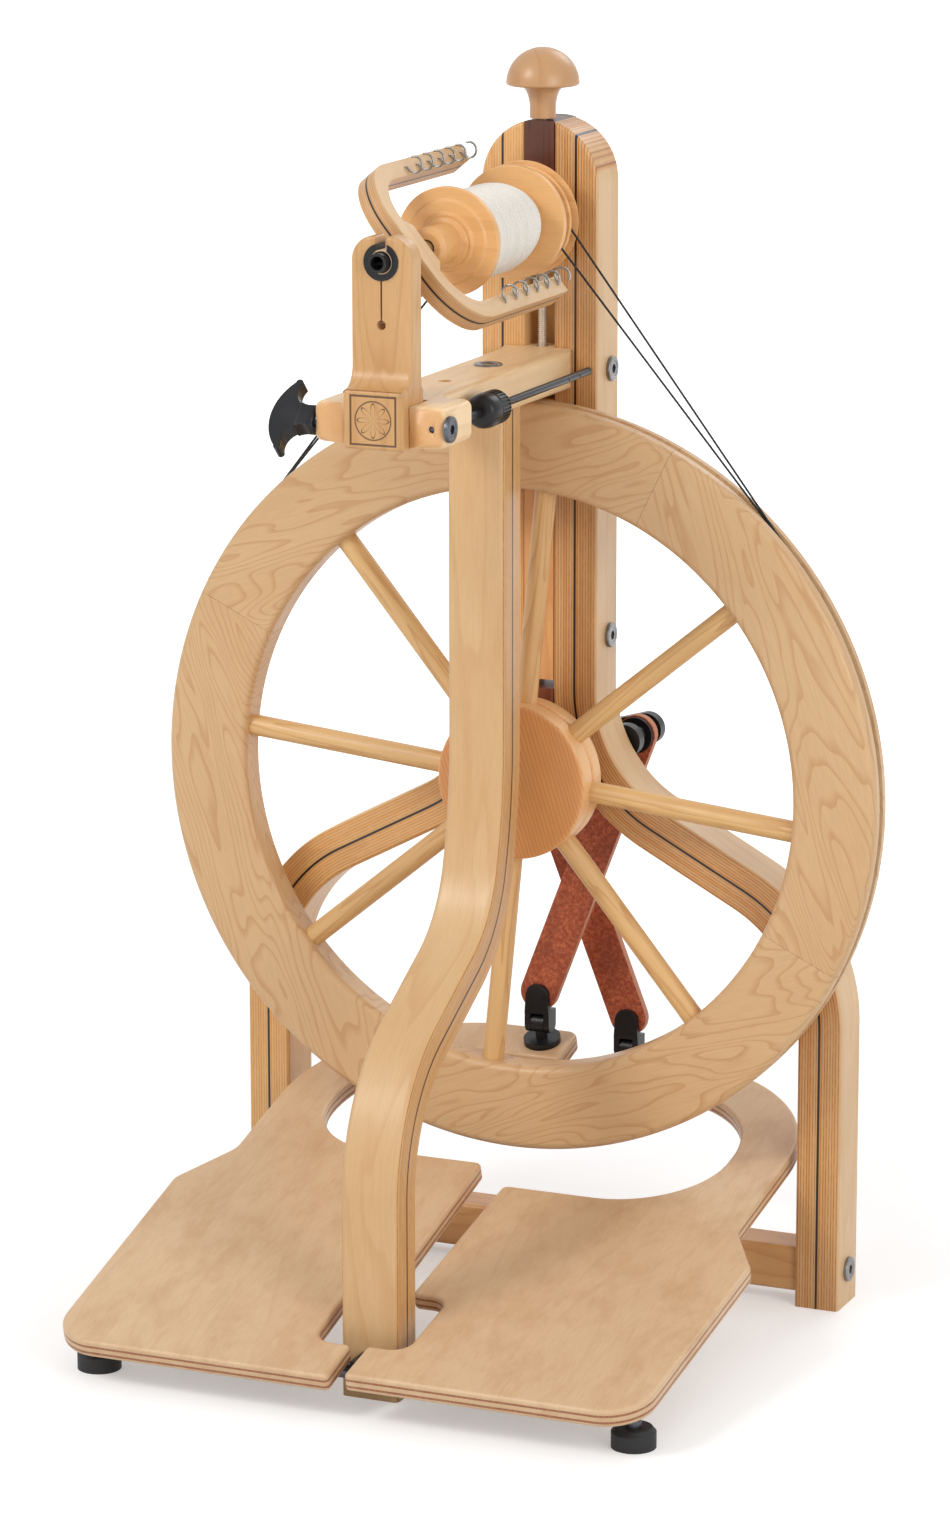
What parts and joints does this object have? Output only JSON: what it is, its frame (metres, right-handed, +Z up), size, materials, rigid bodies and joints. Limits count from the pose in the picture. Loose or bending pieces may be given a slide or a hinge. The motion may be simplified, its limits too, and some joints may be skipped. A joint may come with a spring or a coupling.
{
  "type": "double treadle spinning wheel",
  "caption": "Upright wooden spinning wheel with bent laminated posts, spoked drive wheel, flyer and bobbin head, and double treadles joined to a crank by straps.",
  "frame": {"origin": "on the floor, below the middle of the object's box", "axes": "+Z up, the spinner sits on the -Y side, +X to the spinner's right"},
  "size_m": [0.4948, 0.4456, 0.8141],
  "materials": {
    "maple": "satin clear oil finish on maple, laminated bars with dark glue lines",
    "walnut": "satin",
    "fibre_board": "matt red-brown fibre board",
    "black_plastic": "satin black",
    "black_steel": "black oxide",
    "steel": "bright",
    "rubber": "matt",
    "black_cord": "matt black cord",
    "wool": "undyed wool"
  },
  "bodies": {
    "frame": {"front_post": "maple", "left_rear_leg": "maple", "right_rear_leg": "maple", "walnut_spline": "walnut", "slot_strip": "maple", "centre_filler": "maple", "axle_block": "maple", "rear_stretcher": "maple", "axle_bearings": "black_plastic", "frame_bolts": "black_steel", "hinge_rod": "black_steel", "hinge_bracket": "black_plastic", "rubber_feet": "rubber", "drive_band": "black_cord"},
    "crank": {"crank_front_arm": "black_steel", "crank_rear_arm": "black_steel", "crank_pins": "black_steel"},
    "drive_wheel": {"rim_segments": "maple", "spokes": "maple", "hub_front_disc": "maple", "hub_rear_disc": "maple", "axle": "steel"},
    "treadle_left": {"left_treadle": "maple", "left_hinge_blocks": "black_plastic", "left_swivel": "black_plastic"},
    "treadle_right": {"right_treadle": "maple", "right_hinge_blocks": "black_plastic", "right_swivel": "black_plastic"},
    "pitman_front": {"front_pitman": "fibre_board", "front_pitman_bush": "black_plastic", "front_fork": "black_plastic"},
    "pitman_rear": {"rear_pitman": "fibre_board", "rear_pitman_bush": "black_plastic", "rear_fork": "black_plastic"},
    "moa": {"moa_beam": "maple", "beam_bolt": "black_steel", "barrel_nut": "steel", "rear_bearing_block": "maple", "carriage_nuts": "steel", "clamp_bolt": "black_steel"},
    "tension_screw": {"tension_knob": "maple", "tension_rod": "steel"},
    "maiden": {"front_maiden": "maple", "orifice_bush": "black_plastic"},
    "tee": {"t_handle": "black_plastic"},
    "brake": {"brake_rod": "black_steel", "brake_knob": "black_plastic"},
    "flyer": {"flyer_arms": "maple", "flyer_hooks": "steel", "orifice_tube": "black_plastic", "flyer_shaft": "steel", "flyer_whorl": "maple"},
    "bobbin": {"bobbin_front_flange": "maple", "bobbin_core": "maple", "bobbin_rear_flange": "maple", "yarn_core": "wool", "yarn_winding": "wool"}
  },
  "joints": [
    {"name": "crank_turn", "type": "hinge", "parent": "frame", "child": "crank", "pos_m": [0, 0.15095, 0.346], "axis": [0, -1, 0], "range_deg": [-42, 10]},
    {"name": "wheel_spin", "type": "hinge", "parent": "crank", "child": "drive_wheel", "pos_m": [0, 0.06845, 0.346], "axis": [0, -1, 0], "continuous": true},
    {"name": "treadle_left_swing", "type": "hinge", "parent": "frame", "child": "treadle_left", "pos_m": [-0.1, -0.18405, 0.022], "axis": [1, 0, 0], "range_deg": [-5.5, 1.5]},
    {"name": "treadle_right_swing", "type": "hinge", "parent": "frame", "child": "treadle_right", "pos_m": [0.1, -0.18405, 0.022], "axis": [1, 0, 0], "range_deg": [-1.3, 5]},
    {"name": "pitman_front_swing", "type": "hinge", "parent": "treadle_left", "child": "pitman_front", "pos_m": [-0.0255, 0.16531, 0.15282], "axis": [1, 0, 0], "range_deg": [-2.2, 8.8]},
    {"name": "pitman_rear_swing", "type": "hinge", "parent": "treadle_right", "child": "pitman_rear", "pos_m": [0.0255, 0.19947, 0.13189], "axis": [1, 0, 0], "range_deg": [-7.6, 2]},
    {"name": "moa_tilt", "type": "hinge", "parent": "frame", "child": "moa", "pos_m": [0, 0.01735, 0.5972], "axis": [1, 0, 0], "range_deg": [-1.2, 1.2], "deforming": ["drive_band"]},
    {"name": "tension_turn", "type": "hinge", "parent": "frame", "child": "tension_screw", "pos_m": [0, 0.10595, 0.78], "axis": [0, 0, 1], "range_deg": [-540, 540]},
    {"name": "maiden_tilt", "type": "hinge", "parent": "moa", "child": "maiden", "pos_m": [0, -0.14385, 0.61], "axis": [1, 0, 0], "range_deg": [0, 70]},
    {"name": "tee_turn", "type": "hinge", "parent": "moa", "child": "tee", "pos_m": [-0.05, -0.14385, 0.61], "axis": [1, 0, 0], "range_deg": [-40, 40]},
    {"name": "brake_turn", "type": "hinge", "parent": "moa", "child": "brake", "pos_m": [0.036, -0.04405, 0.61], "axis": [0, 1, 0], "continuous": true},
    {"name": "flyer_spin", "type": "hinge", "parent": "moa", "child": "flyer", "pos_m": [0, -0.04405, 0.7085], "axis": [0, -1, 0], "continuous": true},
    {"name": "bobbin_spin", "type": "hinge", "parent": "flyer", "child": "bobbin", "pos_m": [0, 0.00595, 0.7085], "axis": [0, -1, 0], "continuous": true}
  ],
  "couplings": [
    {"joint": "treadle_left_swing", "follows": "crank_turn", "ratio": 0.1271},
    {"joint": "treadle_right_swing", "follows": "crank_turn", "ratio": -0.1158},
    {"joint": "pitman_front_swing", "follows": "crank_turn", "ratio": -0.2034},
    {"joint": "pitman_rear_swing", "follows": "crank_turn", "ratio": 0.176},
    {"joint": "tension_turn", "follows": "moa_tilt", "ratio": 445},
    {"joint": "flyer_spin", "follows": "wheel_spin", "ratio": 10.527},
    {"joint": "bobbin_spin", "follows": "wheel_spin", "ratio": 7.9448}
  ]
}
